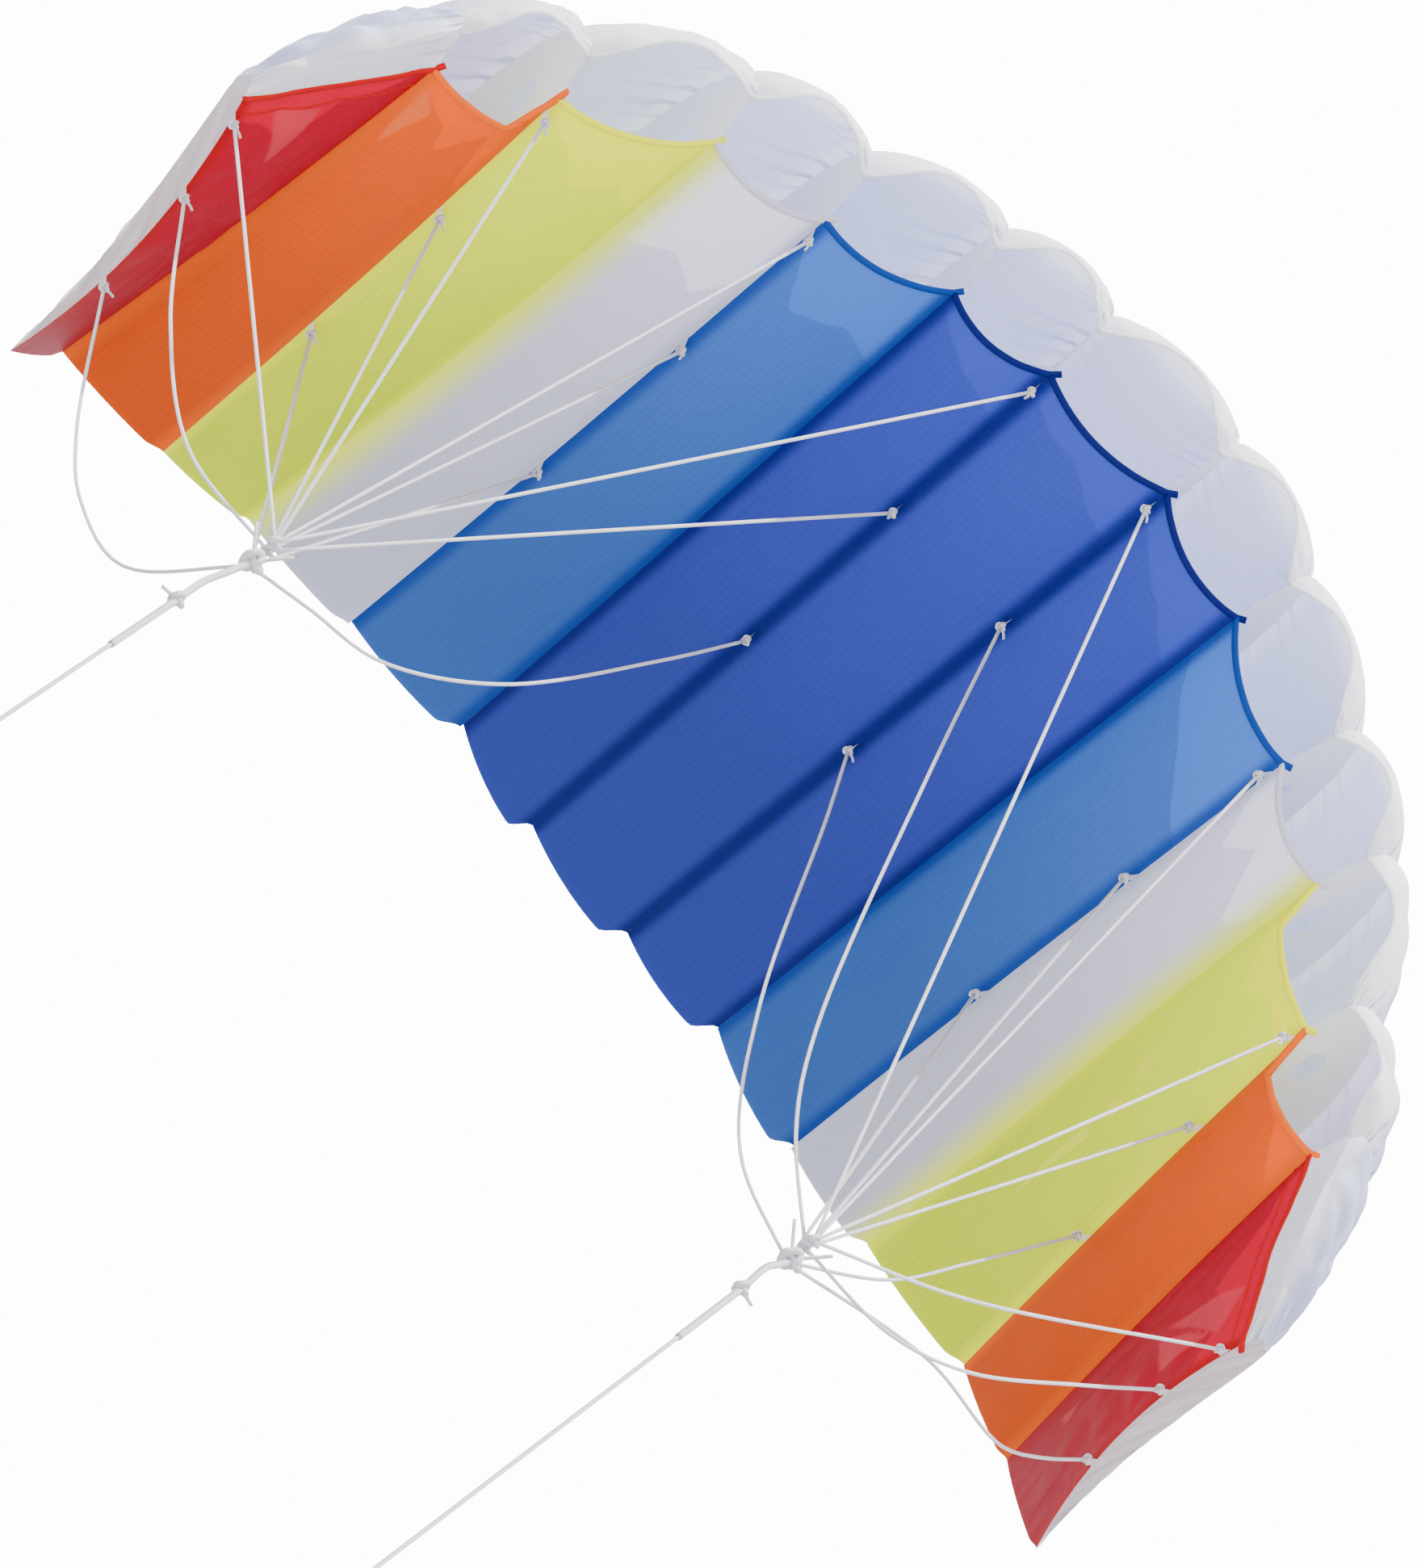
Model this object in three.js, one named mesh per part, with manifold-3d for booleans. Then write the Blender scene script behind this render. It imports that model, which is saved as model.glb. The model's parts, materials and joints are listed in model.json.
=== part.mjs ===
// Two-line ram-air foil kite (parafoil): thirteen cells between fourteen ribs, eleven of them open
// at the front and the two tip cells closed, a white top skin, a rainbow bottom skin, two bridles
// and the upper ends of the two flying lines.
// Millimetres. +Z points up, along the flying lines; +X spans to the kite's right; +Y is forward,
// from the trailing edge to the open leading edge. The origin is the middle of the bottom skin.
import * as THREE from "three";
import { mergeVertices } from "three/addons/utils/BufferGeometryUtils.js";
import Module from "manifold-3d";

const wasm = await Module();
wasm.setup();

// ---------------------------------------------------------------- driving dimensions
// One half of the canopy, from the centre cell outwards. Each rib: x, y and z of the front corner
// of its lower edge, its chord, the lean of its plane and the twist of its chord (degrees).
// Bridled ribs are pulled down and the ribs between them ride a little higher.
const RIBS = [
  { x: 52, y: 248, z: 0, chord: 558, lean: 5, twist: -1.4, bridled: true },
  { x: 144, y: 238, z: -2, chord: 546, lean: 14, twist: -0.8, bridled: false },
  { x: 237, y: 217, z: -48, chord: 517, lean: 24, twist: 0.5, bridled: true },
  { x: 320, y: 196, z: -76, chord: 484, lean: 32, twist: 2, bridled: false },
  { x: 395, y: 169, z: -147, chord: 433, lean: 40, twist: 3.4, bridled: true },
  { x: 466, y: 139, z: -196, chord: 375, lean: 47, twist: 4.3, bridled: false },
  { x: 519, y: 58, z: -279, chord: 264, lean: 53, twist: 4.2, bridled: true },
];
const TIP = RIBS.length - 1;

// Rib outline in fractions of the chord: [aft of the front corner, above the chord line].
// The top edge runs from the upper lip of the intake round the nose to the trailing edge.
const TOP_EDGE = [
  [-0.068, 0.028], [-0.08, 0.055], [-0.066, 0.086], [-0.02, 0.119], [0.06, 0.148], [0.17, 0.164],
  [0.3, 0.162], [0.45, 0.142], [0.6, 0.111], [0.75, 0.074], [0.88, 0.039], [1, 0.0065],
];
const TIP_NOSE_SHARE = 0.55; // the tip rib's nose reaches less far ahead of its front corner
const TIP_THICKNESS_SHARE = 0.6; // and the tip rib is thinner for its chord
const BOTTOM_CAMBER = 0.008; // how far the lower edge bows below the chord line

const CLOTH = 0.6; // the thickness that stands for sewn ripstop cloth
const SEAM_CLEARANCE = 0.8; // from a rib's mid-plane to the edge of the panel beside it
const TOP_BILLOW = 17; // how far a cell's top skin swells out between its ribs
const BOTTOM_BILLOW = 10; // the same on the bottom skin
const INTAKE_HEM_SETBACK = 7; // how far the bottom skin's front hem curves back in mid cell
const LIP_CUT = 0.1; // how far the intake's upper lip is cut back in mid cell, share of the top edge
const CLOSURE_SHARE = 0.1; // share of a tip cell's top skin that runs on from the lip to the hem
const CLOSURE_BULGE = 5; // how far that closing strip swells ahead
const VENTS = [0.09, 0.27, 0.46]; // cross-port positions along each inner rib
const VENT_HALF_LENGTH = 0.036;
const VENT_HALF_HEIGHT = 0.022;

const TAB_WIDTH = 8;
const TAB_DROP = 8.5; // bridle tabs hang this far below a rib's lower edge
const A_SETBACK = 15; // front tab, from the rib's front corner
const B_SHARE = { inner: 0.28, tip: 0.3 }; // middle and rear tabs as shares of the chord
const C_SHARE = { inner: 0.555, tip: 0.645 };

const TOW = { x: 277, y: 90, z: -660 }; // centre of each tow knot, mirrored in x
const TOW_KNOT_RADIUS = 8;
const ROW_KNOT_RADIUS = 4.5;
const BRIDLE_DIAMETER = 2.6;
const PIGTAIL_DIAMETER = 5; // two strands side by side
const LINE_DIAMETER = 3;
const STOPPER_DROP = 75; // stopper knot below the tow knot
const STOPPER_RADIUS = 5.5;
const SLEEVE_DROP = 160; // lower end of the doubled line below the tow knot
const LINE_DROP = 640; // lower end of the flying line below the tow knot
const LOOP_LENGTH = 52;
const LOOP_WIDTH = 18;
const GAP = 0.4; // between pieces that meet
const TUBE_SIDES = 8;

const COLOURS = {
  white: 0xf2f1f4, red: 0xb81f30, orange: 0xd0602a, yellow: 0xd3da5c, paleGrey: 0xc4c3cb,
  lightBlue: 0x4379b8, royalBlue: 0x2f55ad, cord: 0xe6e4ea,
};
const PANEL_COLOURS = ["royalBlue", "royalBlue", "lightBlue", "paleGrey", "yellow", "orange", "red"];

// ---------------------------------------------------------------- helpers
const kite = new THREE.Group();

function add(name, geometry, colour) {
  const material = new THREE.MeshStandardMaterial({
    color: COLOURS[colour], roughness: 0.65, metalness: 0, side: THREE.DoubleSide,
  });
  const mesh = new THREE.Mesh(geometry, material);
  mesh.name = name;
  kite.add(mesh);
  return mesh;
}

function positionsOnly(geometry) {
  const bare = geometry.clone();
  bare.deleteAttribute("normal");
  bare.deleteAttribute("uv");
  return mergeVertices(bare, 1e-3);
}

function solidFrom(geometry) {
  const bare = positionsOnly(geometry);
  return new wasm.Manifold(new wasm.Mesh({
    numProp: 3,
    vertProperties: new Float32Array(bare.attributes.position.array),
    triVerts: new Uint32Array(bare.index.array),
  }));
}

function geometryFrom(solid) {
  const mesh = solid.getMesh();
  const geometry = new THREE.BufferGeometry();
  geometry.setAttribute("position", new THREE.BufferAttribute(mesh.vertProperties, 3));
  geometry.setIndex(new THREE.BufferAttribute(mesh.triVerts, 1));
  geometry.computeVertexNormals();
  return geometry;
}

function joined(geometries) {
  const solids = geometries.map(solidFrom);
  return geometryFrom(solids.slice(1).reduce((sum, next) => sum.add(next), solids[0]));
}

// Turns a closed geometry right side out.
function facingOut(geometry) {
  const p = geometry.attributes.position;
  const index = geometry.index.array;
  const [a, b, c] = [new THREE.Vector3(), new THREE.Vector3(), new THREE.Vector3()];
  let volume = 0;
  for (let i = 0; i < index.length; i += 3) {
    a.fromBufferAttribute(p, index[i]);
    b.fromBufferAttribute(p, index[i + 1]);
    c.fromBufferAttribute(p, index[i + 2]);
    volume += a.dot(b.cross(c));
  }
  if (volume < 0) {
    for (let i = 0; i < index.length; i += 3) {
      [index[i + 1], index[i + 2]] = [index[i + 2], index[i + 1]];
    }
  }
  geometry.computeVertexNormals();
  return geometry;
}

// A thin closed shell between two grids of points, outer(i, j) and inner(i, j).
function shell(rows, columns, outer, inner) {
  const stride = columns + 1;
  const layer = (rows + 1) * stride;
  const points = [];
  for (const side of [outer, inner]) {
    for (let i = 0; i <= rows; i++) {
      for (let j = 0; j <= columns; j++) {
        points.push(...side(i, j).toArray());
      }
    }
  }
  const index = [];
  const quad = (a, b, c, d) => index.push(a, b, c, a, c, d);
  const at = (i, j) => i * stride + j;
  for (let i = 0; i < rows; i++) {
    for (let j = 0; j < columns; j++) {
      quad(at(i, j), at(i + 1, j), at(i + 1, j + 1), at(i, j + 1));
      quad(layer + at(i, j), layer + at(i, j + 1), layer + at(i + 1, j + 1), layer + at(i + 1, j));
    }
  }
  for (let i = 0; i < rows; i++) {
    quad(at(i + 1, 0), at(i, 0), layer + at(i, 0), layer + at(i + 1, 0));
    quad(at(i, columns), at(i + 1, columns), layer + at(i + 1, columns), layer + at(i, columns));
  }
  for (let j = 0; j < columns; j++) {
    quad(at(0, j), at(0, j + 1), layer + at(0, j + 1), layer + at(0, j));
    quad(at(rows, j + 1), at(rows, j), layer + at(rows, j), layer + at(rows, j + 1));
  }
  const geometry = new THREE.BufferGeometry();
  geometry.setAttribute("position", new THREE.Float32BufferAttribute(points, 3));
  geometry.setIndex(index);
  return facingOut(geometry);
}

function tube(points, diameter, steps) {
  const section = new THREE.Shape();
  for (let i = 0; i < TUBE_SIDES; i++) {
    const angle = ((i + 0.5) / TUBE_SIDES) * 2 * Math.PI;
    const [x, y] = [Math.cos(angle) * diameter / 2, Math.sin(angle) * diameter / 2];
    if (i === 0) section.moveTo(x, y);
    else section.lineTo(x, y);
  }
  const path = points.length === 2
    ? new THREE.LineCurve3(points[0], points[1])
    : new THREE.CatmullRomCurve3(points, false, "centripetal");
  return new THREE.ExtrudeGeometry(section, { steps, bevelEnabled: false, extrudePath: path });
}

function ball(centre, radius) {
  return new THREE.SphereGeometry(radius, 12, 8).translate(centre.x, centre.y, centre.z);
}

// ---------------------------------------------------------------- rib frames and profiles
const radians = THREE.MathUtils.degToRad;

// A rib's own frame: its front corner, the direction aft along its chord and the direction up.
function ribFrame(k, side) {
  const rib = RIBS[k];
  const lean = radians(rib.lean) * side;
  const twist = radians(rib.twist);
  const normal = new THREE.Vector3(Math.sin(lean), 0, Math.cos(lean));
  const forward = new THREE.Vector3(0, 1, 0);
  const aft = forward.clone().multiplyScalar(-Math.cos(twist)).addScaledVector(normal, Math.sin(twist));
  const up = forward.clone().multiplyScalar(Math.sin(twist)).addScaledVector(normal, Math.cos(twist));
  const corner = new THREE.Vector3(side * rib.x, rib.y, rib.z);
  return { corner, aft, up, chord: rib.chord, isTip: k === TIP, k, side };
}

function place(frame, a, h) {
  return frame.corner.clone()
    .addScaledVector(frame.aft, a * frame.chord)
    .addScaledVector(frame.up, h * frame.chord);
}

const topCurve = new THREE.CatmullRomCurve3(
  TOP_EDGE.map(([a, h]) => new THREE.Vector3(a, h, 0)), false, "centripetal");

function topPoint(s, isTip = false) {
  const p = topCurve.getPoint(s);
  if (!isTip) return [p.x, p.y];
  return [p.x < 0 ? p.x * TIP_NOSE_SHARE : p.x, p.y * TIP_THICKNESS_SHARE];
}

function bottomPoint(s) {
  return [s, -BOTTOM_CAMBER * Math.sin(Math.PI * s)];
}

// Unit outward normal of a profile at s, in rib fractions.
function profileNormal(profile, s, sign) {
  const d = 1e-3;
  const [a0, h0] = profile(Math.max(0, s - d));
  const [a1, h1] = profile(Math.min(1, s + d));
  const length = Math.hypot(a1 - a0, h1 - h0);
  return [(-(h1 - h0) / length) * sign, ((a1 - a0) / length) * sign];
}

// ---------------------------------------------------------------- ribs
function tabCentres(k) {
  const { chord } = RIBS[k];
  const outward = k / TIP;
  return {
    A: A_SETBACK,
    B: chord * THREE.MathUtils.lerp(B_SHARE.inner, B_SHARE.tip, outward),
    C: chord * THREE.MathUtils.lerp(C_SHARE.inner, C_SHARE.tip, outward),
  };
}

const RIB_BOTTOM_STEPS = 8;
const RIB_TOP_STEPS = 14;

function ribGeometry(frame) {
  const { chord, k, isTip } = frame;
  const lower = [];
  for (let i = 0; i <= RIB_BOTTOM_STEPS; i++) {
    const [a, h] = bottomPoint(i / RIB_BOTTOM_STEPS);
    lower.push([a * chord, h * chord]);
  }
  if (RIBS[k].bridled) {
    for (const centre of Object.values(tabCentres(k))) {
      const h = bottomPoint(centre / chord)[1] * chord;
      const half = TAB_WIDTH / 2;
      lower.push([centre - half, h], [centre - half + 1.5, h - TAB_DROP]);
      lower.push([centre + half - 1.5, h - TAB_DROP], [centre + half, h]);
    }
    lower.sort((p, q) => p[0] - q[0]);
  }
  const upper = [];
  for (let i = RIB_TOP_STEPS; i >= 0; i--) {
    const [a, h] = topPoint(i / RIB_TOP_STEPS, isTip);
    upper.push([a * chord, h * chord]);
  }
  const outline = new THREE.Shape([...lower, ...upper].map(([a, h]) => new THREE.Vector2(a, h)));
  if (k !== TIP) {
    for (const at of VENTS) {
      const vent = new THREE.Path();
      const middle = 0.052 + 0.024 * Math.sin(Math.PI * Math.min(1, at * 2.2));
      for (let i = 0; i < 8; i++) {
        const angle = -(i / 8) * 2 * Math.PI;
        const x = (at + VENT_HALF_LENGTH * Math.cos(angle)) * chord;
        const y = (middle + VENT_HALF_HEIGHT * Math.sin(angle)) * chord;
        if (i === 0) vent.moveTo(x, y);
        else vent.lineTo(x, y);
      }
      vent.closePath();
      outline.holes.push(vent);
    }
  }
  const flat = new THREE.ExtrudeGeometry(outline, { depth: CLOTH, bevelEnabled: false });
  flat.translate(0, 0, -CLOTH / 2);
  const across = frame.aft.clone().cross(frame.up);
  flat.applyMatrix4(new THREE.Matrix4().makeBasis(frame.aft, frame.up, across));
  return flat.translate(frame.corner.x, frame.corner.y, frame.corner.z);
}

// ---------------------------------------------------------------- skins
const TOP_ROWS = 13;
const BOTTOM_ROWS = 8;
const SKIN_COLUMNS = 4;

const bulge = (v) => 4 * v * (1 - v);

const TOP_SKIN = { rows: TOP_ROWS, profile: topPoint, sign: 1, billow: TOP_BILLOW, setback: 0 };
const BOTTOM_SKIN = {
  rows: BOTTOM_ROWS, profile: bottomPoint, sign: -1, billow: BOTTOM_BILLOW, setback: INTAKE_HEM_SETBACK,
};

// The point of a skin at s from front to tail and v from one rib to the next, depth inside it.
function skinPoint(near, far, skin, s, v, depth) {
  const swell = skin.billow * bulge(v) * (1 - 0.85 * s ** 3);
  const hem = skin.setback * bulge(v) * Math.max(0, 1 - 3 * s);
  const sides = [near, far].map((frame) => {
    const [a, h] = skin.profile(s, frame.isTip);
    const [na, nh] = profileNormal((t) => skin.profile(t, frame.isTip), s, skin.sign);
    const out = swell - depth;
    return place(frame, a + (hem + na * out) / frame.chord, h + (nh * out) / frame.chord);
  });
  return sides[0].lerp(sides[1], v);
}

// One cell's panel of a skin, from pointAt(s, v, depth).
function panelGeometry(near, far, rows, pointAt) {
  const margin = SEAM_CLEARANCE / near.corner.distanceTo(far.corner);
  const layer = (depth) => (i, j) => pointAt(
    i / rows, margin + (1 - 2 * margin) * (j / SKIN_COLUMNS), depth);
  return shell(rows, SKIN_COLUMNS, layer(0), layer(CLOTH));
}

const bottomPanel = (near, far) => panelGeometry(
  near, far, BOTTOM_ROWS, (s, v, depth) => skinPoint(near, far, BOTTOM_SKIN, s, v, depth));

const openTopPanel = (near, far) => panelGeometry(near, far, TOP_ROWS, (s, v, depth) => {
  const cut = LIP_CUT * bulge(v) * (1 - s);
  return skinPoint(near, far, TOP_SKIN, s + cut, v, depth);
});

// A tip cell's top skin carries on from the lip, down across the front to the bottom skin's hem.
const closedTopPanel = (near, far) => panelGeometry(near, far, TOP_ROWS + 2, (s, v, depth) => {
  if (s >= CLOSURE_SHARE) {
    return skinPoint(near, far, TOP_SKIN, (s - CLOSURE_SHARE) / (1 - CLOSURE_SHARE), v, depth);
  }
  const up = s / CLOSURE_SHARE;
  const hem = skinPoint(near, far, BOTTOM_SKIN, 0, v, 0)
    .addScaledVector(near.aft, depth).addScaledVector(near.up, 2 * CLOTH);
  const lip = skinPoint(near, far, TOP_SKIN, 0, v, depth);
  return hem.lerp(lip, up).addScaledVector(near.aft, -CLOSURE_BULGE * bulge(v) * bulge(up));
});

for (const [word, side] of [["right", 1], ["left", -1]]) {
  for (let k = 0; k <= TIP; k++) {
    add(`rib_${word}_${k + 1}`, ribGeometry(ribFrame(k, side)), "white");
  }
}
add("top_panel_centre", openTopPanel(ribFrame(0, 1), ribFrame(0, -1)), "white");
add("bottom_panel_centre", bottomPanel(ribFrame(0, 1), ribFrame(0, -1)), PANEL_COLOURS[0]);
for (const [word, side] of [["right", 1], ["left", -1]]) {
  for (let k = 1; k <= TIP; k++) {
    const [near, far] = [ribFrame(k - 1, side), ribFrame(k, side)];
    const topPanel = k === TIP ? closedTopPanel : openTopPanel;
    add(`top_panel_${word}_${k}`, topPanel(near, far), "white");
    add(`bottom_panel_${word}_${k}`, bottomPanel(near, far), PANEL_COLOURS[k]);
  }
}

// ---------------------------------------------------------------- bridles
// Slack lines bow between their tab and the tow point; each has the points that it passes through.
const SLACK_ROUTES = {
  right_7_B: [[439, 4, -422], [356, 42, -553]],
  right_7_C: [[422, -80, -466], [383, -63, -532], [328, -25, -596]],
  right_1_C: [[75, -53, -140], [123, -31, -337], [180, 4, -482], [229, 47, -568]],
  left_1_B: [[-100, 81, -182], [-184, 71, -465], [-224, 76, -559]],
  left_1_C: [[-77, -51, -107], [-149, -15, -371], [-214, 24, -549]],
  left_5_C: [[-366, -43, -329], [-337, 7, -485]],
  left_7_A: [[-378, 62, -509]],
  left_7_B: [[-473, -11, -364], [-416, 4, -477], [-361, 31, -558]],
  left_7_C: [[-497, -99, -325], [-472, -84, -374], [-394, -12, -480]],
};
const SLACK_STEPS = 12;

// The lines of one row gather in a small knot just above the tow knot.
const ROW_KNOT_OFFSETS = { A: [0, 13, 13], B: [0, 0, 20], C: [0, -13, 13] };

function bridleRow(word, side, row) {
  const offset = new THREE.Vector3(...ROW_KNOT_OFFSETS[row]);
  const knot = new THREE.Vector3(side * TOW.x, TOW.y, TOW.z).add(offset);
  const pieces = [ball(knot, ROW_KNOT_RADIUS)];
  RIBS.forEach((rib, k) => {
    if (!rib.bridled) return;
    const frame = ribFrame(k, side);
    const at = tabCentres(k)[row] / rib.chord;
    const below = bottomPoint(at)[1] - (TAB_DROP + 2 * GAP + BRIDLE_DIAMETER / 2) / rib.chord;
    const tab = place(frame, at, below);
    const via = (SLACK_ROUTES[`${word}_${k + 1}_${row}`] ?? []).map((p) => new THREE.Vector3(...p));
    const steps = via.length ? SLACK_STEPS : 1;
    pieces.push(tube([tab, ...via, knot], BRIDLE_DIAMETER, steps));
  });
  return joined(pieces);
}

for (const [word, side] of [["right", 1], ["left", -1]]) {
  for (const row of ["A", "B", "C"]) {
    add(`bridle_${row}_row_${word}`, bridleRow(word, side, row), "cord");
  }
}

// ---------------------------------------------------------------- tow knots and flying lines
// A loop of cord: a ring drawn out lengthwise.
function lineLoop(top) {
  const thickness = LINE_DIAMETER / 2;
  const ring = new THREE.TorusGeometry(LOOP_WIDTH / 2 - thickness, thickness, TUBE_SIDES, 20);
  ring.scale(1, LOOP_LENGTH / LOOP_WIDTH, 1).rotateX(Math.PI / 2);
  return ring.translate(top.x, top.y, top.z - LOOP_LENGTH / 2);
}

for (const [word, side] of [["right", 1], ["left", -1]]) {
  const below = (drop) => new THREE.Vector3(side * TOW.x, TOW.y, TOW.z - drop);
  const run = (from, to, diameter) => tube([below(from), below(to)], diameter, 1);
  add(`tow_knot_${word}`, ball(below(0), TOW_KNOT_RADIUS), "cord");

  const pigtailEnd = STOPPER_DROP - STOPPER_RADIUS - GAP;
  add(`pigtail_${word}`, run(TOW_KNOT_RADIUS + GAP, pigtailEnd, PIGTAIL_DIAMETER), "cord");
  const stopper = below(STOPPER_DROP);
  const tailEnd = stopper.clone().add(new THREE.Vector3(side * 18, 0, -3));
  const tail = tube([stopper, tailEnd], BRIDLE_DIAMETER, 1);
  add(`stopper_knot_${word}`, joined([ball(stopper, STOPPER_RADIUS), tail]), "cord");

  const sleeveTop = STOPPER_DROP + STOPPER_RADIUS + GAP;
  add(`doubled_line_${word}`, run(sleeveTop, SLEEVE_DROP, PIGTAIL_DIAMETER), "cord");
  add(`flying_line_${word}`, run(SLEEVE_DROP + GAP, LINE_DROP, LINE_DIAMETER), "cord");
  add(`line_loop_${word}`, lineLoop(below(LINE_DROP + GAP)), "cord");
}

export default kite;
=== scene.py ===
import json
import math

import bpy
import numpy as np
from mathutils import Matrix, Vector, geometry, noise

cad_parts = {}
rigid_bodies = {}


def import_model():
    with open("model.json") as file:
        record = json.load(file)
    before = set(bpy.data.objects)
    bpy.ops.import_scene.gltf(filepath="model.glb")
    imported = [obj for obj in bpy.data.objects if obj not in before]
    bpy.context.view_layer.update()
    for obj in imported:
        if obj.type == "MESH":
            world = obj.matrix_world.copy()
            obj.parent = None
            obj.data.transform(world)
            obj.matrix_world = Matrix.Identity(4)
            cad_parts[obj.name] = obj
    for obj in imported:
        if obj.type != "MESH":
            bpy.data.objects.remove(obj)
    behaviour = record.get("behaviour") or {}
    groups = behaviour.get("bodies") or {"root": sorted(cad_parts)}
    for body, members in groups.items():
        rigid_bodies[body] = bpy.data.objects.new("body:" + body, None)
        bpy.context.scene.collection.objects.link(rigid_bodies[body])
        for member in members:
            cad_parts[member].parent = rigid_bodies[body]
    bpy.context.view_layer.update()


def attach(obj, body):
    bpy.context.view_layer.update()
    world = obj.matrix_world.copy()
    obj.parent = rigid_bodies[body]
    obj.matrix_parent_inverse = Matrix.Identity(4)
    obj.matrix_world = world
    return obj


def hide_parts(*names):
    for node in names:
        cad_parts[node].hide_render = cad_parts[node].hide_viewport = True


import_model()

scene_objects = bpy.context.scene.collection.objects
camera = bpy.data.objects.new("camera", bpy.data.cameras.new("camera"))
scene_objects.link(camera)
camera.data.lens = 247.7
camera.data.clip_end = 200
camera.matrix_world = Matrix.Translation((-0.1599, 3.9627, -6.2126)) @ Matrix((
    (-0.634018, 0.773043, -0.020637),
    (0.636015, 0.536442, 0.554721),
    (0.439893, 0.338578, -0.831781),
)).to_4x4()
bpy.context.scene.camera = camera

# ---------------------------------------------------------------- bridle lines
# Braided polyester cords, 2.6 mm thick. Each is tied to a tab under a rib and runs to one of
# the two tow knots; the front ones carry the load and are taut, the rear ones hang in bows.
SIDES = {"right": 1, "left": -1}
# x, y, z of each rib's front corner, its chord, lean and twist, from the centre cell outwards
RIBS = {
    1: (52, 248, 0, 558, 5, -1.4),
    2: (144, 238, -2, 546, 14, -0.8),
    3: (237, 217, -48, 517, 24, 0.5),
    4: (320, 196, -76, 484, 32, 2),
    5: (395, 169, -147, 433, 40, 3.4),
    6: (466, 139, -196, 375, 47, 4.3),
    7: (519, 58, -279, 264, 53, 4.2),
}
# How far the wind has pushed each rib's front corner and its tail out of true, in mm
SWAY = {
    "right_7": ((12, 5, 3), (-20, -10, -6)),
    "right_6": ((2, 3, 2), (13, -10, -7)),
    "right_5": ((8, 3, 2), (-4, -6, -4)),
    "right_4": ((-3, 5, 3), (10, -7, -5)),
    "right_3": ((-6, -3, -2), (1, -1, 0)),
    "right_2": ((-4, -8, -5), (-6, -1, -1)),
    "right_1": ((4, -3, -2), (0, -4, -3)),
    "left_1": ((-3, 5, 4), (2, -1, -1)),
    "left_2": ((-5, -1, -1), (2, 2, 1)),
    "left_3": ((-7, 2, 1), (2, 4, 2)),
    "left_4": ((0, 2, 2), (7, 3, 2)),
    "left_5": ((6, -4, -2), (-15, 17, 11)),
    "left_6": ((12, -3, -2), (-6, 6, 4)),
    "left_7": ((-2, -5, -3), (-13, 10, 7)),
}
TIP_RIB = 7
TIP_NOSE_SHARE = 0.55  # a tip rib's nose reaches less far ahead of its front corner
TIP_THICKNESS = 0.55  # and the rib is thinner for its chord
TIP_BOW = 0.014  # the lines draw a tip rib this far inwards in mid chord
CAMBER = 0.008  # how far a rib's lower edge bows below its chord, as a share of it
BRIDLED = (1, 3, 5, 7)
BRIDLE_D = 0.0026
FRONT_TAB = 0.015  # from a rib's front corner back to its front tab
REAR_TABS = {"B": (0.28, 0.02), "C": (0.555, 0.09)}  # share of the chord, and its gain to the tip
LINE_TOP_DROP = 0.0105  # a line's upper end below the rib's lower edge
PATH_STEPS = 24  # curve points between two given points of a line
ANY_ACROSS = (0.3, 0.2, 0.93)  # a direction that no cord runs along exactly
# Centres of the tow knots, and where each row's small knot lies from there
TOW = {"right": (0.2696, 0.097, -0.6551), "left": (-0.2837, 0.0834, -0.6642)}
ROW_KNOTS = {"A": (0, 0.013, 0.013), "B": (0, 0, 0.02), "C": (0, -0.013, 0.013)}
# Points in mm that each slack line hangs through, from its tab down
BOWS = {
    "right_7_B": [(439, 4, -422), (356, 42, -553)],
    "right_7_C": [(422, -80, -466), (383, -63, -532), (328, -25, -596)],
    "right_1_C": [(75, -53, -140), (123, -31, -337), (180, 4, -482), (229, 47, -568)],
    "left_1_B": [(-100, 81, -182), (-184, 71, -465), (-224, 76, -559)],
    "left_1_C": [(-77, -51, -107), (-149, -15, -371), (-214, 24, -549)],
    "left_5_C": [(-366, -43, -329), (-337, 7, -485)],
    "left_7_A": [(-378, 62, -509)],
    "left_7_B": [(-473, -11, -364), (-416, 4, -477), (-361, 31, -558)],
    "left_7_C": [(-497, -99, -325), (-472, -84, -374), (-394, -12, -480)],
}


def vec(*values):
    return np.array(values, float)


def rib_frame(side, n):
    """A rib's front corner, its chord from there to the tail, and the rest of its measures."""
    x, y, z, chord, lean, twist = RIBS[n]
    front, back = (vec(*shift) / 1000 for shift in SWAY[f"{side}_{n}"])
    s = SIDES[side]
    lean, twist = s * math.radians(lean), math.radians(twist)
    normal = vec(math.sin(lean), 0, math.cos(lean))
    ahead = vec(0, 1, 0)
    aft = -math.cos(twist) * ahead + math.sin(twist) * normal
    up = math.sin(twist) * ahead + math.cos(twist) * normal
    corner = vec(s * x, y, z) / 1000
    tail = corner + aft * chord / 1000 + back
    corner = corner + front
    tip = n == TIP_RIB
    return {
        "corner": corner,
        "chord": tail - corner,
        "up": up * chord / 1000 * (TIP_THICKNESS if tip else 1),
        "length": chord / 1000,
        "nose": TIP_NOSE_SHARE if tip else 1,
        "bow": s * TIP_BOW if tip else 0,
    }


def place(rib, a, h):
    """The point a of the chord behind a rib's front corner and h of it above its chord line.
    The lines draw the tip ribs into an inward bow."""
    bow = rib["bow"] * 4 * max(0, a) * (1 - a)
    return rib["corner"] + a * rib["chord"] + h * rib["up"] - vec(bow, 0, 0)


def lower_edge(s, nose=1):
    """The rib's lower edge, s from 0 to 1; it has no nose, so that share changes nothing."""
    return s, -CAMBER * math.sin(math.pi * s)


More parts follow.
